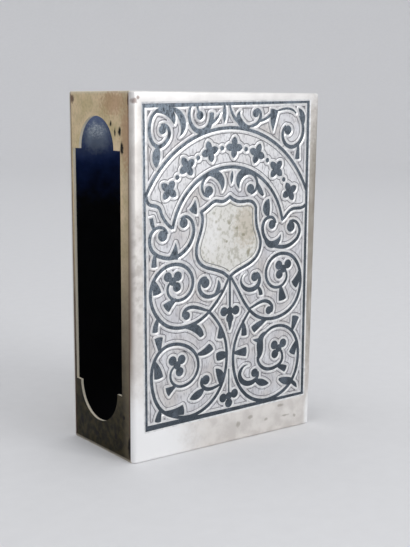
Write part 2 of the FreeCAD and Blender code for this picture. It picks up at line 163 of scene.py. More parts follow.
class ShaderBench:
    """Lays the shader nodes of one finish."""

    rim: Cloud = Cloud(0.5, 4.0)
    core: float = 0.35
    facing_levels: Point = (0.3, 0.8)

    def __init__(self, name: str) -> None:
        """Starts a material.

        Args:
            name: The material's name.
        """
        self.material = bpy.data.materials.new(name)
        self.material.use_nodes = True
        self.tree = self.material.node_tree
        self.shader = self.tree.nodes["Principled BSDF"]
        place = self.add("ShaderNodeTexCoord").outputs["Object"]
        self.place = self.add("ShaderNodeVectorMath", operation="SCALE")
        self.join(place, self.place.inputs[0])
        self.place.inputs["Scale"].default_value = 1 / MM
        self.axes = self.add("ShaderNodeSeparateXYZ")
        self.join(self.place.outputs[0], self.axes.inputs[0])
        self.facing = self.add("ShaderNodeSeparateXYZ")
        self.join(self.add("ShaderNodeNewGeometry").outputs["True Normal"], self.facing.inputs[0])

    def add(self, kind: str, **settings: object) -> bpy.types.Node:
        """Adds a node.

        Args:
            kind: Blender's name for the node.
            **settings: The node's own settings.

        Returns:
            The node.
        """
        node = self.tree.nodes.new(kind)
        for name, value in settings.items():
            setattr(node, name, value)
        return node

    def join(self, source: Value | Colour, target: Socket) -> None:
        """Links a socket to another, or sets a plain value on it.

        Args:
            source: The socket or the value.
            target: The socket that takes it.
        """
        if isinstance(source, Socket):
            self.tree.links.new(source, target)
        elif isinstance(source, tuple):
            target.default_value = (*source, 1.0) if len(target.default_value) == 4 else source
        else:
            target.default_value = source

    def axis(self, letter: str) -> Socket:
        """The place along X, Y or Z."""
        return self.axes.outputs[letter]

    def math(self, operation: str, *values: Value) -> Socket:
        """Reckons with values.

        Args:
            operation: Blender's name for the sum.
            *values: The values, in Blender's order.

        Returns:
            The result.
        """
        node = self.add("ShaderNodeMath", operation=operation)
        for value, target in zip(values, node.inputs):
            self.join(value, target)
        return node.outputs[0]

    def times(self, first: Value, *others: Value) -> Value:
        """Multiplies shares.

        Args:
            first: The first share.
            *others: The other shares.

        Returns:
            Their product.
        """
        for other in others:
            first = self.math("MULTIPLY", first, other)
        return first

    def hypot(self, first: Socket, second: Socket) -> Socket:
        """How far two legs at a right angle reach together."""
        return self.math("SQRT", self.math("ADD", self.times(first, first), self.times(second, second)))

    def between(self, share: Socket, low: float, high: float) -> Socket:
        """A value that goes evenly from low to high with a share."""
        return self.math("MULTIPLY_ADD", share, high - low, low)

    def rise(self, value: Socket, low: float, high: float) -> Socket:
        """Rises smoothly from 0 to 1 while a value goes from low to high.

        Args:
            value: The value that is followed.
            low: Where the rise starts.
            high: Where it ends. Below low, it falls.

        Returns:
            A share from 0 to 1.
        """
        node = self.add("ShaderNodeMapRange", interpolation_type="SMOOTHSTEP")
        self.join(value, node.inputs["Value"])
        self.join(low, node.inputs["From Min"])
        self.join(high, node.inputs["From Max"])
        return node.outputs["Result"]

    def looks(self, letter: str, sign: float) -> Socket:
        """How far a face looks one way along X, Y or Z, as a share."""
        return self.rise(self.math("MULTIPLY", self.facing.outputs[letter], sign), *self.facing_levels)

    def cloud(self, cloud: Cloud) -> Socket:
        """Lays a random pattern.

        Args:
            cloud: The pattern.

        Returns:
            A share around a half.
        """
        mapping = self.add("ShaderNodeMapping")
        self.join(self.place.outputs[0], mapping.inputs["Vector"])
        self.join((cloud.seed, cloud.seed, cloud.seed), mapping.inputs["Location"])
        self.join(tuple(1 / (cloud.size * s) for s in cloud.stretch), mapping.inputs["Scale"])
        noise = self.add("ShaderNodeTexNoise")
        self.join(mapping.outputs[0], noise.inputs["Vector"])
        self.join(1.0, noise.inputs["Scale"])
        self.join(cloud.layers, noise.inputs["Detail"])
        return noise.outputs[0]

    def patches(self, cloud: Cloud) -> Socket:
        """The patches of a random pattern, which show between its levels if it has any."""
        noise = self.cloud(cloud)
        return self.rise(noise, *cloud.levels) if cloud.levels else noise

    def mix(self, share: Value, first: Socket | Colour, second: Socket | Colour) -> Socket:
        """Mixes two colours.

        Args:
            share: How much of the second colour there is.
            first: The first colour.
            second: The second colour.

        Returns:
            The mixed colour.
        """
        node = self.add("ShaderNodeMix", data_type="RGBA")
        self.join(share, node.inputs[0])
        self.join(first, node.inputs[6])
        self.join(second, node.inputs[7])
        return node.outputs[2]

    def coat(self, under: Socket | Colour, coat: Coat, *shares: Socket) -> Socket:
        """Lays a coat over a colour, as far as all the shares let it."""
        return self.mix(self.times(coat.share, *shares), under, coat.colour)

    def spot(self, letter: str, mark: Mark, ragged: float) -> Socket:
        """The share of one spot, stained or painted with light, 1 in its middle and 0 outside, with a
        ragged rim.

        Args:
            letter: The axis that runs along the face.
            mark: The place of the spot.
            ragged: How far its rim wanders, as a share of its size.

        Returns:
            The share.
        """
        aside = self.math("DIVIDE", self.math("SUBTRACT", self.axis(letter), mark.along), mark.half_width)
        above = self.math("DIVIDE", self.math("SUBTRACT", self.axis("Z"), mark.up), mark.half_height)
        wander = self.between(self.cloud(replace(self.rim, seed=mark.along)), -ragged / 2, ragged / 2)
        return self.rise(self.math("ADD", wander, self.hypot(aside, above)), 1.0, self.core)

    def spots(self, letter: str, stains: StainsAndPaintedLight) -> Socket:
        """The share of several stains, or spots of painted light, together.

        Args:
            letter: The axis that runs along the face.
            stains: The stains, or spots of painted light.

        Returns:
            The share.
        """
        share = self.spot(letter, stains.marks[0], stains.ragged)
        for mark in stains.marks[1:]:
            share = self.math("MAXIMUM", share, self.spot(letter, mark, stains.ragged))
        return share

    def lay_stains_and_light(self, under: Socket, letter: str, stains: StainsAndPaintedLight, *shares: Socket) -> Socket:
        """Lays stains, or spots of painted light, over a colour, on the face that the letter's axis runs
        along.
        """
        return self.coat(under, stains.coat, self.spots(letter, stains), *shares)

    def relief(self, height: Socket, depth: float, under: Socket | None = None) -> Socket:
        """Bumps a surface.

        Args:
            height: The height, from 0 to 1.
            depth: What a height of 1 stands for.
            under: Bumps that lie under these.

        Returns:
            The bumped normal.
        """
        bump = self.add("ShaderNodeBump")
        self.join(height, bump.inputs["Height"])
        self.join(depth * MM, bump.inputs["Distance"])
        if under is not None:
            self.join(under, bump.inputs["Normal"])
        return bump.outputs["Normal"]

    def finish(self, colour: Socket, metal: Value, rough: Value, normal: Socket) -> Material:
        """Gives the shader what it shows.

        Args:
            colour: The colour.
            metal: How metallic it is.
            rough: How rough it is.
            normal: The bumped normal.

        Returns:
            The material.
        """
        self.join(colour, self.shader.inputs["Base Color"])
        self.join(metal, self.shader.inputs["Metallic"])
        self.join(rough, self.shader.inputs["Roughness"])
        self.join(normal, self.shader.inputs["Normal"])
        return self.material


@dataclass(frozen=True)
class FrontSilver:
    """Silver of the front: what the matted ground, the shield and the margins share."""

    pale: Colour = tone(233, 233, 236)
    dull: Colour = tone(214, 213, 217)
    clouding: Cloud = Cloud(2.6, 6.0, levels=(0.36, 0.66))
    dents: Cloud = Cloud(7.0, 2.0, seed=9.0)
    dent_depth: float = 0.04
    grain: Cloud = Cloud(0.16, 3.0, (1.0, 1.0, 3.0), 4.0)
    grain_depth: float = 0.008
    gloss: Cloud = Cloud(0.9, 4.0, seed=7.0)
    roughness: Point = (0.32, 0.54)
    metal: float = 0.82

    def start(self, name: str) -> tuple[ShaderBench, Socket]:
        """Starts the finish of that name with its clouded silver."""
        bench = ShaderBench(name)
        return bench, bench.mix(bench.patches(self.clouding), self.pale, self.dull)

    def end(self, bench: ShaderBench, colour: Socket, metal: Value) -> Material:
        """Ends the finish with its dents, its grain and an uneven gloss.

        Args:
            bench: Where the nodes are laid.
            colour: The colour.
            metal: How metallic it is.

        Returns:
            The material.
        """
        normal = bench.relief(bench.cloud(self.dents), self.dent_depth)
        normal = bench.relief(bench.cloud(self.grain), self.grain_depth, normal)
        rough = bench.between(bench.cloud(self.gloss), *self.roughness)
        return bench.finish(colour, metal, rough, normal)


@dataclass(frozen=True)
class GroundSilver(FrontSilver):
    """The ground between the strokes, matted with fine upright cuts, lighter in the arched band."""

    warm: Coat = Coat(tone(212, 204, 196), 0.6)
    warmth: Cloud = Cloud(5.0, 3.0, seed=12.0, levels=(0.4, 0.7))
    band: Coat = Coat(tone(246, 246, 247), 0.6)
    band_height: float = 35.9
    band_radii: Point = (12.4, 18.1)
    band_rim: float = 0.2
    band_foot: Point = (38.5, 41.0)
    matt: Coat = Coat(tone(170, 169, 172), 0.75)
    grain: Cloud = Cloud(0.26, 4.0, (1.0, 1.0, 3.0), 3.0, (0.46, 0.72))
    grain_depth: float = 0.012

    def material(self) -> Material:
        """Makes the material.

        Returns:
            The material.
        """
        bench, colour = self.start("ground_silver")
        colour = bench.coat(colour, self.warm, bench.patches(self.warmth))
        up = bench.axis("Z")
        away = bench.hypot(bench.axis("X"), bench.math("SUBTRACT", up, self.band_height))
        inner, outer = self.band_radii
        outside = bench.rise(away, inner, inner + self.band_rim)
        inside = bench.rise(away, outer + self.band_rim, outer)
        colour = bench.coat(colour, self.band, outside, inside, bench.rise(up, *self.band_foot))
        colour = bench.coat(colour, self.matt, bench.patches(self.grain))
        return self.end(bench, colour, self.metal)


@dataclass(frozen=True)
class ShieldSilver(FrontSilver):
    """The bare shield, creamy with olive specks towards its right side, and a painted highlight on its
    left part.
    """

    cream: Coat = Coat(tone(234, 232, 224), 0.75)
    stained: StainsAndPaintedLight = StainsAndPaintedLight(Coat(tone(203, 193, 176), 0.7), (Mark(3.6, 38.0, 3.6, 5.0),), 1.6)
    mottled: Coat = Coat(OLIVE, 0.5)
    mottle: Cloud = Cloud(0.5, 6.0, (1.0, 1.0, 1.4), 5.0, (0.45, 0.68))
    specks: StainsAndPaintedLight = StainsAndPaintedLight(Coat(OLIVE, 0.75), (
        Mark(-0.2, 38.7, 0.45, 0.4), Mark(1.35, 37.7, 0.6, 0.35), Mark(2.9, 36.5, 0.6, 0.45),
        Mark(4.0, 33.3, 0.5, 0.9), Mark(-3.5, 40.5, 0.5, 0.35), Mark(-0.7, 35.6, 0.3, 0.3),
    ))
    # Painted highlight on the left part of the shield.
    rub_and_highlight: StainsAndPaintedLight = StainsAndPaintedLight(Coat(tone(250, 250, 250), 0.45), (Mark(-4.1, 36.9, 2.4, 5.0),), 1.6)

    def material(self) -> Material:
        """Makes the material.

        Returns:
            The material.
        """
        bench, colour = self.start("shield_silver")
        colour = bench.coat(colour, self.cream)
        colour = bench.lay_stains_and_light(colour, "X", self.stained)
        colour = bench.coat(colour, self.mottled, bench.patches(self.mottle))
        colour = bench.lay_stains_and_light(colour, "X", self.specks)
        # Painted highlight on the left part of the shield.
        colour = bench.lay_stains_and_light(colour, "X", self.rub_and_highlight)
        return self.end(bench, colour, self.metal)


@dataclass(frozen=True)
class MarginSilver(FrontSilver):
    """The plain margins, with a painted highlight on top and at the lower left over some worn-bright
    silver, a tan right margin that is partly tarnish and partly painted shade, and painted shade with some
    tarnish on the rounding of the left side.
    """

    pale: Colour = tone(242, 238, 233)
    dull: Colour = tone(224, 219, 214)
    # Painted highlight along the top margin.
    top_light_reach: Point = (57.0, 58.6)
    top_highlight_share: float = 0.5
    # Painted highlight at the lower left, and low on the right side, over some worn-bright silver.
    rub_and_highlight: StainsAndPaintedLight = StainsAndPaintedLight(Coat(tone(252, 252, 252), 0.95), (
        Mark(-18.0, 1.0, 15.0, 16.0), Mark(19.6, 2.0, 1.8, 7.0),
    ), 0.35)
    # Less metallic under the painted highlight.
    rub_and_highlight_metal: float = 0.4
    worn: StainsAndPaintedLight = StainsAndPaintedLight(Coat(TAN, 0.35), (Mark(-18.2, 32.0, 2.6, 13.0),), 0.5)
    wear: Cloud = Cloud(1.2, 6.0, seed=6.0, levels=(0.4, 0.65))
    # Tan on the right margin, in streaks: partly tarnish, partly painted shade.
    right_tarnish_and_shade: StainsAndPaintedLight = StainsAndPaintedLight(Coat(TAN, 0.85), (Mark(19.0, 34.0, 5.0, 31.0),), 0.4)
    streaks: Cloud = Cloud(1.0, 6.0, (1.0, 1.0, 5.0), 2.0, (-0.1, 0.6))
    faint: StainsAndPaintedLight = StainsAndPaintedLight(Coat(TAN, 0.5), (
        Mark(15.8, 2.2, 0.5, 0.4), Mark(9.0, 2.7, 0.6, 0.4), Mark(12.3, 4.7, 1.0, 0.4),
        Mark(13.5, 2.6, 1.2, 0.25), Mark(2.5, 2.9, 0.6, 0.7), Mark(5.2, 3.7, 0.8, 0.5),
    ))
    rusted: StainsAndPaintedLight = StainsAndPaintedLight(Coat(tone(112, 78, 64), 0.65), (
        Mark(-19.1, 58.5, 0.65, 0.6), Mark(-18.5, 59.0, 0.35, 0.4),
    ))
    # The rounding of the left side darkens to tan where it turns towards the wall, most low down: partly
    # tarnish, partly painted shade.
    corner: Coat = Coat(tone(150, 136, 122))
    corner_depth: Point = (-9.78, -9.0)
    corner_side: Point = (-18.0, -19.0)
    corner_fade: Point = (78.0, 20.0)
    corner_foot: Point = (6.0, 22.0)
    grain: Cloud = Cloud(0.12, 3.0, (1.0, 1.0, 14.0), 4.0)
    grain_depth: float = 0.006

    def material(self) -> Material:
        """Makes the material.

        Returns:
            The material.
        """
        bench, colour = self.start("margin_silver")
        up = bench.axis("Z")
        # Painted highlight: the top margin and the spots at the lower left are whitened and made less
        # metallic.
        top = bench.times(bench.rise(up, *self.top_light_reach), self.top_highlight_share)
        highlight_and_rub_share = bench.math("MAXIMUM", top, bench.spots("X", self.rub_and_highlight))
        colour = bench.coat(colour, self.rub_and_highlight.coat, highlight_and_rub_share)
        colour = bench.lay_stains_and_light(colour, "X", self.worn, bench.patches(self.wear))
        # Tan right margin: partly tarnish, partly painted shade.
        colour = bench.lay_stains_and_light(colour, "X", self.right_tarnish_and_shade, bench.patches(self.streaks))
        colour = bench.lay_stains_and_light(colour, "X", self.faint)
        colour = bench.lay_stains_and_light(colour, "X", self.rusted)
        # Painted shade, with some tarnish, on the rounding of the left side.
        turned = bench.rise(bench.axis("Y"), *self.corner_depth)
        aside = bench.rise(bench.axis("X"), *self.corner_side)
        fade = bench.times(bench.rise(up, *self.corner_fade), bench.rise(up, *self.corner_foot))
        colour = bench.coat(colour, self.corner, turned, aside, fade)
        return self.end(bench, colour, bench.between(highlight_and_rub_share, self.metal, self.rub_and_highlight_metal))


@dataclass(frozen=True)
class PlainFinish:
    """One tone clouded with another, over fine bumps."""

    name: str
    base: Colour
    clouded: Colour
    rough: float
    metal: float
    clouding: Cloud
    bumps: Cloud
    bump_depth: float

    def material(self) -> Material:
        """Makes the material.

        Returns:
            The material.
        """
        bench = ShaderBench(self.name)
        colour = bench.mix(bench.patches(self.clouding), self.base, self.clouded)
        normal = bench.relief(bench.cloud(self.bumps), self.bump_depth)
        return bench.finish(colour, self.metal, self.rough, normal)


@dataclass(frozen=True)
class CutSilver(PlainFinish):
    """Silver cut by the graver: bright on the bevels, grimed in the fine lines."""

    metal: float = 0.85
    clouding: Cloud = Cloud(0.8, 4.0, levels=(0.42, 0.7))
    bumps: Cloud = Cloud(0.1, 2.0, seed=1.0)
    bump_depth: float = 0.003


@dataclass(frozen=True)
class SolderFinish(PlainFinish):
    """Grey hard solder with a cast skin."""

    name: str = "solder"
    base: Colour = tone(58, 56, 52)
    clouded: Colour = tone(120, 116, 108)
    rough: float = 0.5
    metal: float = 0.7
    clouding: Cloud = Cloud(0.5, 5.0, levels=(0.35, 0.65))
    bumps: Cloud = Cloud(0.5, 5.0)
    bump_depth: float = 0.03


@dataclass(frozen=True)
class PaleFloor(PlainFinish):
    """Matt pale paper."""

    name: str = "pale_paper"
    base: Colour = (0.78, 0.78, 0.79)
    clouded: Colour = (0.74, 0.74, 0.75)
    rough: float = 0.9
    metal: float = 0.0
    clouding: Cloud = Cloud(3.0, 4.0)
    bumps: Cloud = Cloud(0.4, 2.0)
    bump_depth: float = 0.01


@dataclass(frozen=True)
class NielloFinish:
    """Slate-dark niello, worn paler in places, and paler in streaks towards its upper left: a painted
    reflection, partly burnished wear.
    """

    dark: Colour = tone(60, 70, 80)
    # Paler patches: wear alone.
    rub_and_highlight: Coat = Coat(tone(104, 114, 126), 0.7)
    wear: Cloud = Cloud(1.8, 6.0, levels=(0.45, 0.72))
    # Painted reflection, partly burnished wear: paler in streaks towards the upper left.
    polish_and_reflection: Coat = Coat(tone(152, 164, 176))
    polish_and_reflection_reach: Point = (5.0, 88.0)
    streaks: Cloud = Cloud(0.4, 5.0, (1.0, 1.0, 2.0), 6.0, (0.3, 0.56))
    pore: Colour = tone(34, 39, 45)
    pores: Cloud = Cloud(0.12, 2.0, seed=2.0, levels=(0.35, 0.5))
    pore_depth: float = 0.006
    metal: float = 0.4
    rough: float = 0.42

    def material(self) -> Material:
        """Makes the material.

        Returns:
            The material.
        """
        bench = ShaderBench("niello")
        colour = bench.coat(self.dark, self.rub_and_highlight, bench.patches(self.wear))
        # Painted reflection: paler towards the upper left, in streaks.
        slant = bench.math("SUBTRACT", bench.axis("Z"), bench.axis("X"))
        polish_and_reflection_share = bench.rise(slant, *self.polish_and_reflection_reach)
        colour = bench.coat(colour, self.polish_and_reflection, polish_and_reflection_share, bench.patches(self.streaks))
        solid = bench.patches(self.pores)
        colour = bench.mix(solid, self.pore, colour)
        return bench.finish(colour, self.metal, self.rough, bench.relief(solid, self.pore_depth))


@dataclass(frozen=True)
class InsideTarnishAndPaintedLight:
    """The dark inside of the case, partly tarnish and partly painted shade, with a painted cloudy blue
    light and sheen below its open top and a painted glow and glint.
    """

    # Dark tarnish, partly painted shade.
    shade: Colour = tone(24, 25, 28)
    # Painted blue light and sheen, rising towards the open top.
    blue: Coat = Coat(tone(46, 68, 124))
    blue_light_reach: Point = (41.0, 50.0)
    sheen: Coat = Coat(tone(180, 193, 203), 0.3)
    sheen_reach: Point = (46.5, 56.5)
    drift: Cloud = Cloud(2.5, 4.0, seed=3.0)
    drift_reach: Point = (-4.0, 4.0)
    # Painted glow and glint on the inner face of the back plate, below its open top.
    glow: StainsAndPaintedLight = StainsAndPaintedLight(Coat(tone(180, 193, 203), 0.6), (Mark(-14.5, 52.4, 3.5, 3.4),), 0.6)
    glint: StainsAndPaintedLight = StainsAndPaintedLight(Coat(tone(226, 232, 234)), (Mark(-14.6, 53.5, 2.2, 1.7),), 1.0)
    # Flecks of the painted glint.
    specks: Cloud = Cloud(0.22, 8.0, seed=21.0, levels=(0.36, 0.72))
    crust: Cloud = Cloud(0.6, 4.0)
    crust_depth: float = 0.02
    metal: float = 0.7
    rough: float = 0.5

    def colour(self, bench: ShaderBench) -> Socket:
        """Lays the dark tarnish, partly painted shade, with the painted blue light, sheen, glow and glint.

        Args:
            bench: Where the nodes are laid.

        Returns:
            The colour.
        """
        up = bench.math("ADD", bench.axis("Z"), bench.between(bench.cloud(self.drift), *self.drift_reach))
        # Painted light: blue and a sheen rise towards the open top over the dark base.
        colour = bench.coat(self.shade, self.blue, bench.rise(up, *self.blue_light_reach))
        colour = bench.coat(colour, self.sheen, bench.rise(up, *self.sheen_reach))
        # Painted glow and glint.
        colour = bench.lay_stains_and_light(colour, "X", self.glow)
        return bench.lay_stains_and_light(colour, "X", self.glint, bench.patches(self.specks))

    def material(self) -> Material:
        """Makes a material of the inside colour alone, painted light and shade included.

        Returns:
            The material.
        """
        bench = ShaderBench("inside_tarnish_and_painted_light")
        normal = bench.relief(bench.cloud(self.crust), self.crust_depth)
        return bench.finish(self.colour(bench), self.metal, self.rough, normal)


@dataclass(frozen=True)
class SheetTones:
    """Tones of a sheet: two at its top, one in its middle, two at its foot and one on its edges, which is
    a painted highlight.
    """

    top: tuple[Colour, Colour]
    middle: Colour
    low: tuple[Colour, Colour]
    edge: Colour


@dataclass(frozen=True)
class SheetSilver:
    """Plain tarnished silver sheet: light at its top and dark at its foot, partly tarnish and partly
    painted light and shade, with a painted highlight on its cut edges and ends over some worn-bright
    silver, and dark inside the case, partly painted shade.
    """

    sheet: Sheet
    tones: SheetTones
    stains: tuple[StainsAndPaintedLight, ...] = ()
    drift: Cloud = Cloud(9.0, 4.0, seed=2.0)
    drift_reach: Point = (-7.0, 7.0)
    top_mottle: Cloud = Cloud(4.0, 7.0, seed=11.0, levels=(0.25, 0.75))
    # Where the light top tones take over: on the walls partly painted light.
    top_light_reach: Point = (22.0, 46.0)
    low_mottle: Cloud = Cloud(1.1, 7.0, seed=15.0, levels=(0.34, 0.7))
    middle_reach: Point = (6.0, 34.0)
    blots: Cloud = Cloud(0.5, 7.0, seed=4.0, levels=(0.4, 0.8))
    blot_share: float = 0.2
    rub_reach: Point = (-6.0, -8.3)
    rub_share: float = 0.3
    seam: Coat = Coat(tone(88, 58, 50), 0.7)
    seam_reach: Point = (8.4, 8.75)
    # Painted highlight along the top and foot ends.
    end_highlight_reach: Point = (0.6, 0.15)
    end_highlight_share: float = 0.5
    inside: InsideTarnishAndPaintedLight = InsideTarnishAndPaintedLight()
    dents: Cloud = Cloud(6.0, 2.0, seed=9.0)
    dent_depth: float = 0.05
    scratches: Cloud = Cloud(0.1, 3.0, (12.0, 12.0, 1.0), 4.0)
    scratch_depth: float = 0.005
    metal: Point = (0.25, 0.93)
    rough: float = 0.7
    gloss: Cloud = Cloud(1.2, 4.0, seed=7.0)
    gloss_reach: Point = (0.4, 0.1)

    def outer_colour(self, bench: ShaderBench, along: str) -> Socket:
        """Lays the colour of the outer face.

        Args:
            bench: Where the nodes are laid.
            along: The axis that runs along the face.

        Returns:
            The colour.
        """
        tones = self.tones
        up = bench.math("ADD", bench.axis("Z"), bench.between(bench.cloud(self.drift), *self.drift_reach))
        low = bench.mix(bench.patches(self.low_mottle), *tones.low)
        top = bench.mix(bench.patches(self.top_mottle), *tones.top)
        # Darker at the foot and lighter at the top: partly tarnish, partly painted light and shade.
        colour = bench.mix(bench.rise(up, *self.middle_reach), low, tones.middle)
        colour = bench.mix(bench.rise(up, *self.top_light_reach), colour, top)
        colour = bench.mix(bench.times(bench.patches(self.blots), self.blot_share), colour, low)
        if self.sheet is not Sheet.BACK_PLATE:
            # Near the front edge the tones lean towards the middle one, as wear.
            rub_and_highlight = bench.rise(bench.axis(along), *self.rub_reach)
            colour = bench.coat(colour, Coat(tones.middle, self.rub_share), rub_and_highlight)
            aside = bench.math("ABSOLUTE", bench.axis(along))
            colour = bench.coat(colour, self.seam, bench.rise(aside, *self.seam_reach))
        foot, head = (corner.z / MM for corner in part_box(self.sheet.name.lower()))
        above_foot = bench.math("SUBTRACT", bench.axis("Z"), foot)
        below_head = bench.math("SUBTRACT", head, bench.axis("Z"))
        # Painted highlight along the top and foot ends.
        ends = bench.rise(bench.math("MINIMUM", above_foot, below_head), *self.end_highlight_reach)
        colour = bench.coat(colour, Coat(tones.edge, self.end_highlight_share), ends)
        for stains in self.stains:
            colour = bench.lay_stains_and_light(colour, along, stains)
        return colour

    def material(self) -> Material:
        """Makes the material.

        Returns:
            The material.
        """
        letter, sign = self.sheet.value
        bench = ShaderBench(self.sheet.name.lower() + "_silver")
        outer, inner = bench.looks(letter, sign), bench.looks(letter, -sign)
        colour = self.outer_colour(bench, "Y" if letter == "X" else "X")
        # Cut edges: a painted highlight, partly worn-bright silver.
        colour = bench.mix(outer, self.tones.edge, colour)
        # Inner face: dark tarnish, partly painted shade, with painted light below the open top.
        colour = bench.mix(inner, colour, self.inside.colour(bench))
        normal = bench.relief(bench.cloud(self.dents), self.dent_depth)
        normal = bench.relief(bench.cloud(self.scratches), self.scratch_depth, normal)
        face = bench.math("ADD", outer, inner)
        gloss = bench.between(bench.cloud(self.gloss), *self.gloss_reach)
        rough = bench.math("SUBTRACT", self.rough, bench.times(gloss, face))
        return bench.finish(colour, bench.between(face, *self.metal), rough, normal)


@dataclass
class EngravedFront:
    """The front plate: bevelled recesses round the niello, a low burr and a fine line beside them."""

    bevel_width: float = 0.28
    burr_width: float = 0.1
    ground_depth: float = 0.025
    line_offset: float = 0.54
    line_half_width: float = 0.07
    line_depth: float = 0.045
    side_radius: float = 0.8
    end_radius: float = 0.4
    round_steps: int = 8
    field_step: float = 0.07
    tolerance: float = 0.008
    pocket_slack: float = 0.015
    shortest_line: int = 8
    crease: float = math.radians(12.0)
    shield_middle: Point = (0.0, 37.0)
    front_facing: float = -0.9
    shortest_chord: float = 1e-9
    merge_reach: float = 1e-6
    weld: float = 1e-4
    bevel: CutSilver = CutSilver("bevel_silver", tone(240, 240, 239), tone(212, 213, 215), 0.36)
    fine_line: CutSilver = CutSilver("line_silver", tone(146, 147, 150), tone(98, 99, 102), 0.4)

    def __post_init__(self) -> None:
        """Reads the plate and the niello from the frame."""
        self.low, self.high = (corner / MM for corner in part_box("front_plate"))
        self.niello = {n: o for n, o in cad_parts.items() if n.startswith("niello_")}
        self.border_low, self.border_high = (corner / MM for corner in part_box("niello_border"))
        self.sink = self.border_low.y - self.low.y
        self.recess = self.border_high.y - self.low.y
        self.read_outlines()

    def read_outlines(self) -> None:
        """Collects the front faces of the niello, flattened, and their outlines."""
        corners: list[Vector] = []
        faces: list[tuple[int, ...]] = []
        self.outline: list[tuple[Point, Point]] = []
        for node in self.niello.values():
            mesh = node.data
            start = len(corners)
            corners += [Vector((v.co.x / MM, 0.0, v.co.z / MM)) for v in mesh.vertices]
            seen: dict[tuple[int, int], int] = {}
            for face in mesh.polygons:
                if face.normal.y < self.front_facing:
                    faces.append(tuple(start + index for index in face.vertices))
                    for key in face.edge_keys:
                        seen[key] = seen.get(key, 0) + 1
            for (first, last), count in seen.items():
                if count == 1:
                    ends = [mesh.vertices[index].co for index in (first, last)]
                    self.outline.append(tuple((end.x / MM, end.z / MM) for end in ends))
        self.tree = BVHTree.FromPolygons(corners, faces)

    def away(self, across: float, up: float) -> float:
        """The distance from the nearest niello, 0 on it."""
        return self.tree.find_nearest((across, 0.0, up))[3]

    def field(self) -> np.ndarray:
        """Samples the distance from the niello over the bordered field.

        Returns:
            The distances, first across and then up.
        """
        reach = 2 * self.bevel_width
        self.across = np.arange(self.border_low.x - reach, self.border_high.x + reach, self.field_step)
        self.up = np.arange(self.border_low.z - reach, self.border_high.z + reach, self.field_step)
        return np.array([[self.away(x, z) for z in self.up] for x in self.across])

    def bordered(self, field: np.ndarray) -> np.ndarray:
        """Keeps the distances that the border line encloses.

        Args:
            field: The sampled distances.

        Returns:
            The same distances, 0 outside the border.
        """
        outside = np.ones(field.shape, bool)
        outside[1:-1, 1:-1] = False
        grown = outside
        while grown is not None:
            outside = grown
            wider = outside.copy()
            wider[1:] |= outside[:-1]
            wider[:-1] |= outside[1:]
            wider[:, 1:] |= outside[:, :-1]
            wider[:, :-1] |= outside[:, 1:]
            wider &= field > self.pocket_slack
            grown = wider if wider.sum() > outside.sum() else None
        return np.where(outside, 0.0, field)

    def crossings(self, field: np.ndarray, level: float) -> dict[Step, list[Step]]:
        """Finds where a level line crosses the field's grid.

        Args:
            field: The sampled distances.
            level: The distance that the line keeps.

        Returns:
            Each crossing with the crossings that it leads to.
        """
        above = field > level
        total = above[:-1, :-1].astype(int) + above[1:, :-1] + above[1:, 1:] + above[:-1, 1:]
        links: dict[Step, list[Step]] = {}
        for i, j in zip(*np.nonzero((total > 0) & (total < 4))):
            i, j = int(i), int(j)
            corners = (above[i, j], above[i + 1, j], above[i + 1, j + 1], above[i, j + 1])
            sides = ((0, i, j), (1, i + 1, j), (0, i, j + 1), (1, i, j))
            cut = [side for k, side in enumerate(sides) if corners[k] != corners[(k + 1) % 4]]
            for first, last in zip(cut[::2], cut[1::2]):
                links.setdefault(first, []).append(last)
                links.setdefault(last, []).append(first)
        return links

    def level_lines(self, field: np.ndarray, level: float) -> list[np.ndarray]:
        """Traces the lines that keep one distance from the niello.

        Args:
            field: The sampled distances.
            level: The distance.

        Returns:
            Closed lines, thinned to the tolerance.
        """
        links = self.crossings(field, level)
        lines = []
        while links:
            walk = [next(iter(links))]
            while walk[-1] in links:
                following = [n for n in links.pop(walk[-1]) if n in links]
                if not following:
                    break
                walk.append(following[0])
            points = np.array([self.crossing_point(field, level, *step) for step in walk])
            if len(points) > self.shortest_line:
                lines.append(self.thin(points))
        return lines

    def crossing_point(self, field: np.ndarray, level: float, kind: int, i: int, j: int) -> Point:
        """The place of one crossing.

        Args:
            field: The sampled distances.
            level: The distance.
            kind: 0 for a crossing between neighbours across, 1 for neighbours up.
            i: The first sample's index across.
            j: The first sample's index up.

        Returns:
            The place across and up.
        """
        first, last = field[i, j], field[i + 1 - kind, j + kind]
        share = (level - first) / (last - first) * self.field_step
        return self.across[i] + (1 - kind) * share, self.up[j] + kind * share

    def thin(self, points: np.ndarray) -> np.ndarray:
        """Leaves out the points that a line can do without.

        Args:
            points: A closed line.

        Returns:
            The points that are kept.
        """
        keep = np.zeros(len(points), bool)
        half = len(points) // 2
        keep[[0, half, -1]] = True
        spans = [(0, half), (half, len(points) - 1)]
        while spans:
            start, end = spans.pop()
            if end - start < 2:
                continue
            chord = points[end] - points[start]
            aside = points[start + 1:end] - points[start]
            length = max(float(np.hypot(*chord)), self.shortest_chord)
            lean = np.abs(chord[0] * aside[:, 1] - chord[1] * aside[:, 0]) / length
            worst = int(lean.argmax())
            if lean[worst] > self.tolerance:
                middle = start + 1 + worst
                keep[middle] = True
                spans += [(start, middle), (middle, end)]
        return points[keep]

    def build(self) -> Object:
        """Builds the plate as one closed mesh.

        Returns:
            The plate.
        """
        points: list[Point] = []
        depths: list[float] = []
        edges: list[tuple[int, int]] = []

        def lay(line: list[Point] | np.ndarray, depth: float, closed: bool) -> None:
            """Adds a line of points at one depth.

            Args:
                line: The points, across and up.
                depth: How deep they lie.
                closed: Whether the last point joins the first.
            """
            start = len(points)
            points.extend((float(x), float(z)) for x, z in line)
            depths.extend([depth] * len(line))
            edges.extend((start + k, start + k + 1) for k in range(len(line) - 1))
            if closed:
                edges.append((start + len(line) - 1, start))

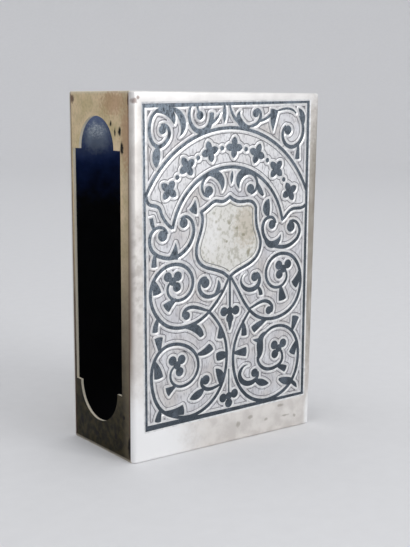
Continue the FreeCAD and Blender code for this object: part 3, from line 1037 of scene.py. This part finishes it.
        for ends in self.outline:
            lay(ends, self.sink, False)
        field = self.field()
        enclosed = self.bordered(field)
        levels = (
            (field, self.bevel_width, 0.0),
            (enclosed, self.bevel_width + self.burr_width, self.ground_depth),
            (enclosed, self.line_offset - self.line_half_width, self.ground_depth),
            (enclosed, self.line_offset, self.ground_depth + self.line_depth),
            (enclosed, self.line_offset + self.line_half_width, self.ground_depth),
        )
        for distances, level, depth in levels:
            for line in self.level_lines(distances, level):
                lay(line, depth, True)
        half = self.high.x - self.side_radius
        bottom, top = self.low.z + self.end_radius, self.high.z - self.end_radius
        lay([(-half, bottom), (half, bottom), (half, top), (-half, top)], 0.0, True)
        places = [Vector(p) for p in points]
        flat, _, faces, origins, _, _ = delaunay_2d_cdt(places, edges, [], 0, self.merge_reach)
        depth = [max((depths[k] for k in origin), default=0.0) for origin in origins]
        return self.assemble(flat, faces, depth)

    def assemble(self, flat: list[Vector], faces: list[list[int]], depth: list[float]) -> Object:
        """Turns the flat triangles into the plate.

        Args:
            flat: The points of the face.
            faces: Its triangles.
            depth: How deep each point lies.

        Returns:
            The plate.
        """
        corners = [(p.x, self.low.y + d, p.y) for p, d in zip(flat, depth)]
        sides: Sides = {}
        for index, face in enumerate(faces):
            for first, last in zip(face, face[1:] + face[:1]):
                sides.setdefault((min(first, last), max(first, last)), []).append(index)
        middles = [sum((flat[k] for k in face), Vector((0, 0))) / len(face) for face in faces]
        distance = [self.away(m.x, m.y) for m in middles]
        pocket = [d < self.pocket_slack for d in distance]
        groove = self.ground_depth + self.line_depth / 2
        grooved = [max(depth[k] for k in face) > groove for face in faces]
        paint = self.zones(sides, middles, distance, pocket, grooved)
        solid: list[list[int]] = []
        floor: dict[int, int] = {}
        for face, sunk in zip(faces, pocket):
            if sunk:
                for k in face:
                    if k not in floor:
                        floor[k] = len(corners)
                        corners.append((flat[k].x, self.low.y + self.recess, flat[k].y))
            solid.append([floor[k] for k in face] if sunk else list(face))
        for (first, last), touching in sides.items():
            if len(touching) == 2 and pocket[touching[0]] != pocket[touching[1]]:
                solid.append([first, last, floor[last], floor[first]])
                paint.append(Zone.BEVEL)
        for face, zone in self.rim(corners):
            solid.append(face)
            paint.append(zone)
        mesh = bpy.data.meshes.new("front_plate_engraved")
        mesh.from_pydata([Vector(c) * MM for c in corners], [], solid)
        mesh.polygons.foreach_set("material_index", [zone.value for zone in paint])
        work = bmesh.new()
        work.from_mesh(mesh)
        plate = settle(work, mesh, self.weld)
        mesh.set_sharp_from_angle(angle=self.crease)
        return plate

    def zones(self, sides: Sides, middles: list[Vector],
              distance: list[float], pocket: list[bool], grooved: list[bool]) -> list[Zone]:
        """Tells which zone each triangle of the face is in.

        Args:
            sides: The triangles on either side of each edge.
            middles: The middles of the triangles.
            distance: How far those lie from the niello.
            pocket: Which triangles lie under niello.
            grooved: Which triangles reach the bottom of a fine line.

        Returns:
            The zones.
        """
        neighbours: list[list[int]] = [[] for _ in middles]
        for touching in sides.values():
            if len(touching) == 2:
                neighbours[touching[0]].append(touching[1])
                neighbours[touching[1]].append(touching[0])
        zones = [Zone.GROUND] * len(middles)
        inmost = min(range(len(middles)), key=lambda k: (middles[k] - Vector(self.shield_middle)).length)
        outmost = next(touching[0] for touching in sides.values() if len(touching) == 1)
        for start, zone in ((inmost, Zone.SHIELD), (outmost, Zone.MARGIN)):
            reached = {start}
            queue = [start]
            while queue:
                fresh = [k for k in neighbours[queue.pop()] if k not in reached and not pocket[k]]
                reached.update(fresh)
                queue += fresh
            for index in reached:
                zones[index] = zone
        for index, away in enumerate(distance):
            if away < self.bevel_width:
                zones[index] = Zone.BEVEL
            elif grooved[index] and zones[index] is not Zone.MARGIN:
                zones[index] = Zone.LINE
        return zones

    def rim(self, corners: list[Place]) -> list[tuple[list[int], Zone]]:
        """Adds the rounded sides, the ends and the inner face.

        Args:
            corners: The plate's points, which the rim adds its own to.

        Returns:
            The rim's faces with their zones.
        """
        angles = [math.pi / 2 * k / self.round_steps for k in range(self.round_steps + 1)]
        sections = [(self.low.z + self.end_radius * (1 - math.sin(a)), a) for a in reversed(angles)]
        sections += [(self.high.z - self.end_radius * (1 - math.sin(a)), a) for a in angles]
        half = self.high.x - self.side_radius
        rows = []
        for height, angle in sections:
            radius = self.side_radius - self.end_radius * (1 - math.cos(angle))
            centre = self.low.y + self.side_radius
            quarter = [(half + radius * math.cos(a), centre - radius * math.sin(a)) for a in angles]
            right = [(half + radius, self.high.y)] + quarter
            loop = [(-x, y) for x, y in right] + right[::-1]
            rows.append([len(corners) + k for k in range(len(loop))])
            corners.extend((x, y, height) for x, y in loop)
        faces = [(rows[0], Zone.MARGIN), (rows[-1], Zone.MARGIN)]
        front_gap = len(angles)
        for number, (lower, upper) in enumerate(zip(rows, rows[1:])):
            for k in range(len(lower)):
                if number == self.round_steps and k == front_gap:
                    continue
                n = (k + 1) % len(lower)
                zone = Zone.MARGIN if n else Zone.INSIDE
                faces.append(([lower[k], lower[n], upper[n], upper[k]], zone))
        return faces

    def dress(self, plate: Object) -> None:
        """Paints the zones and lets the plate stand for the plain one.

        Args:
            plate: The engraved plate.
        """
        finishes = {
            Zone.GROUND: GroundSilver(),
            Zone.BEVEL: self.bevel,
            Zone.LINE: self.fine_line,
            Zone.SHIELD: ShieldSilver(),
            Zone.MARGIN: MarginSilver(),
            Zone.INSIDE: InsideTarnishAndPaintedLight(),
        }
        for zone in Zone:
            plate.data.materials.append(finishes[zone].material())
        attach(plate, "root")
        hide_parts("front_plate")
        LOG.info("front_plate_engraved: %d faces", len(plate.data.polygons))


@dataclass
class NielloInlay:
    """Every piece of niello in the front plate."""

    finish: NielloFinish = NielloFinish()

    def dress(self) -> None:
        """Gives the niello its finish."""
        material = self.finish.material()
        for name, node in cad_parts.items():
            if name.startswith("niello_"):
                node.material_slots[0].material = material
                LOG.info("%s: niello", name)


@dataclass
class SheetCase:
    """The back plate, the two pierced walls and the solder between them."""

    # The wall tones go from bright gold at the top to near black at the foot: partly tarnish, partly
    # painted light and shade. The last tone is a painted highlight for the edges.
    wall: SheetTones = SheetTones(
        (tone(237, 215, 180), tone(208, 191, 148)), tone(147, 135, 113),
        (tone(22, 19, 6), tone(60, 52, 27)), tone(234, 226, 207),
    )
    back: SheetTones = SheetTones(
        (tone(206, 202, 196), tone(192, 186, 176)), tone(190, 184, 174),
        (tone(178, 170, 157), tone(168, 160, 147)), tone(222, 220, 216),
    )
    blooms: StainsAndPaintedLight = StainsAndPaintedLight(Coat(tone(178, 132, 100), 0.5), (
        Mark(-4.6, 58.2, 5.0, 2.6), Mark(-8.0, 53.0, 2.0, 7.0),
    ), 1.6)
    stains: StainsAndPaintedLight = StainsAndPaintedLight(Coat(tone(88, 58, 50), 0.85), (
        Mark(8.2, 58.8, 0.8, 0.9), Mark(-8.75, 58.6, 0.4, 1.2),
    ))
    pits: StainsAndPaintedLight = StainsAndPaintedLight(Coat(tone(12, 9, 7)), (
        Mark(-6.3, 53.8, 0.6, 1.0), Mark(-3.7, 55.0, 0.45, 0.55), Mark(-4.9, 53.6, 0.3, 0.9),
        Mark(-6.9, 51.2, 0.65, 1.3), Mark(-6.9, 7.4, 0.5, 0.6), Mark(-4.4, 3.5, 0.6, 1.0),
        Mark(1.6, 2.4, 1.1, 0.6), Mark(6.6, 3.8, 0.9, 1.2), Mark(-8.6, 2.6, 0.7, 2.2),
    ))
    solder: SolderFinish = SolderFinish()

    def dress(self) -> None:
        """Gives the sheets and the solder their finishes."""
        finishes = (
            SheetSilver(Sheet.LEFT_WALL, self.wall, (self.blooms, self.stains, self.pits)),
            SheetSilver(Sheet.RIGHT_WALL, self.wall),
            SheetSilver(Sheet.BACK_PLATE, self.back),
        )
        for finish in finishes:
            name = finish.sheet.name.lower()
            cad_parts[name].material_slots[0].material = finish.material()
            LOG.info("%s: tarnished silver", name)
        solder = self.solder.material()
        for name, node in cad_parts.items():
            if name.startswith("solder_"):
                node.material_slots[0].material = solder
                LOG.info("%s: solder", name)


@dataclass
class Studio:
    """Floor, lamp, sky and camera. Angles are in degrees."""

    floor_radius: float = 1100.0
    sweep_radius: float = 350.0
    backdrop_height: float = 800.0
    sweep_steps: int = 12
    sweep_turns: int = 96
    weld: float = 1e-3
    paper: PaleFloor = PaleFloor()
    camera_place: Place = (-106.74, -142.43, 58.1)
    camera_yaw: float = 36.31
    camera_pitch: float = 12.75
    camera_roll: float = 0.36
    camera_nearest: float = 5.0
    focal_pixels: float = 1015.5
    image_height: float = 547.0
    sensor: float = 36.0
    axis_offset: Point = (-20.0, 60.0)
    sky: Colour = (0.86, 0.87, 0.89)
    sky_strength: float = 1.0
    key_place: Place = (130.0, -470.0, 250.0)
    key_size: float = 260.0
    key_watts: float = 0.95
    key_aim: Place = (0.0, 0.0, 30.0)

    def build(self) -> None:
        """Sets the whole stage."""
        self.lay_floor()
        self.hang_sky()
        self.hang_key()
        self.place_camera()
        bpy.context.scene.view_settings.view_transform = "Standard"

    def lay_floor(self) -> None:
        """Lays the pale floor, which sweeps up all round into a backdrop."""
        steps = [math.pi / 2 * k / self.sweep_steps for k in range(self.sweep_steps + 1)]
        bend = self.floor_radius - self.sweep_radius
        profile = [(0.0, 0.0)]
        for angle in steps:
            out = bend + self.sweep_radius * math.sin(angle)
            up = self.sweep_radius * (1 - math.cos(angle))
            profile.append((out, up))
        profile.append((self.floor_radius, self.backdrop_height))
        work = bmesh.new()
        points = [work.verts.new((out * MM, 0.0, up * MM)) for out, up in profile]
        edges = [work.edges.new(pair) for pair in zip(points, points[1:])]
        bmesh.ops.spin(
            work, geom=points + edges, axis=(0.0, 0.0, 1.0), cent=(0.0, 0.0, 0.0),
            angle=2 * math.pi, steps=self.sweep_turns, use_merge=True,
        )
        floor = settle(work, bpy.data.meshes.new("floor"), self.weld)
        floor.data.materials.append(self.paper.material())

    def hang_sky(self) -> None:
        """Makes the soft light from above."""
        world = bpy.data.worlds.new("studio_sky")
        world.use_nodes = True
        light = world.node_tree.nodes["Background"]
        light.inputs["Color"].default_value = (*self.sky, 1.0)
        light.inputs["Strength"].default_value = self.sky_strength
        bpy.context.scene.world = world

    def hang_key(self) -> None:
        """Hangs a square softbox that faces the case."""
        data = bpy.data.lights.new("key_softbox", "AREA")
        data.size = self.key_size * MM
        data.energy = self.key_watts
        lamp = bpy.data.objects.new("key_softbox", data)
        lamp.location = Vector(self.key_place) * MM
        aim = Vector(self.key_aim) * MM - lamp.location
        lamp.rotation_euler = aim.to_track_quat("-Z", "Y").to_euler()
        bpy.context.scene.collection.objects.link(lamp)

    def place_camera(self) -> None:
        """Puts the camera where the case is seen from its left front corner."""
        data = bpy.data.cameras.new("camera")
        data.sensor_width = self.sensor
        data.lens = self.focal_pixels / self.image_height * self.sensor
        data.shift_x = -self.axis_offset[0] / self.image_height
        data.shift_y = self.axis_offset[1] / self.image_height
        data.clip_start = self.camera_nearest * MM
        camera = bpy.data.objects.new("camera", data)
        turn = Matrix.Rotation(math.radians(-self.camera_yaw), 4, "Z")
        tilt = Matrix.Rotation(math.radians(90.0 - self.camera_pitch), 4, "X")
        roll = Matrix.Rotation(math.radians(self.camera_roll), 4, "Z")
        camera.matrix_world = Matrix.Translation(Vector(self.camera_place) * MM) @ turn @ tilt @ roll
        bpy.context.scene.collection.objects.link(camera)
        bpy.context.scene.camera = camera


def main() -> None:
    """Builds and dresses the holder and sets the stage."""
    logging.basicConfig(level=logging.INFO, format="%(message)s")
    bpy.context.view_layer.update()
    front = EngravedFront()
    front.dress(front.build())
    NielloInlay().dress()
    SheetCase().dress()
    Studio().build()


if __name__ == "__main__":
    main()
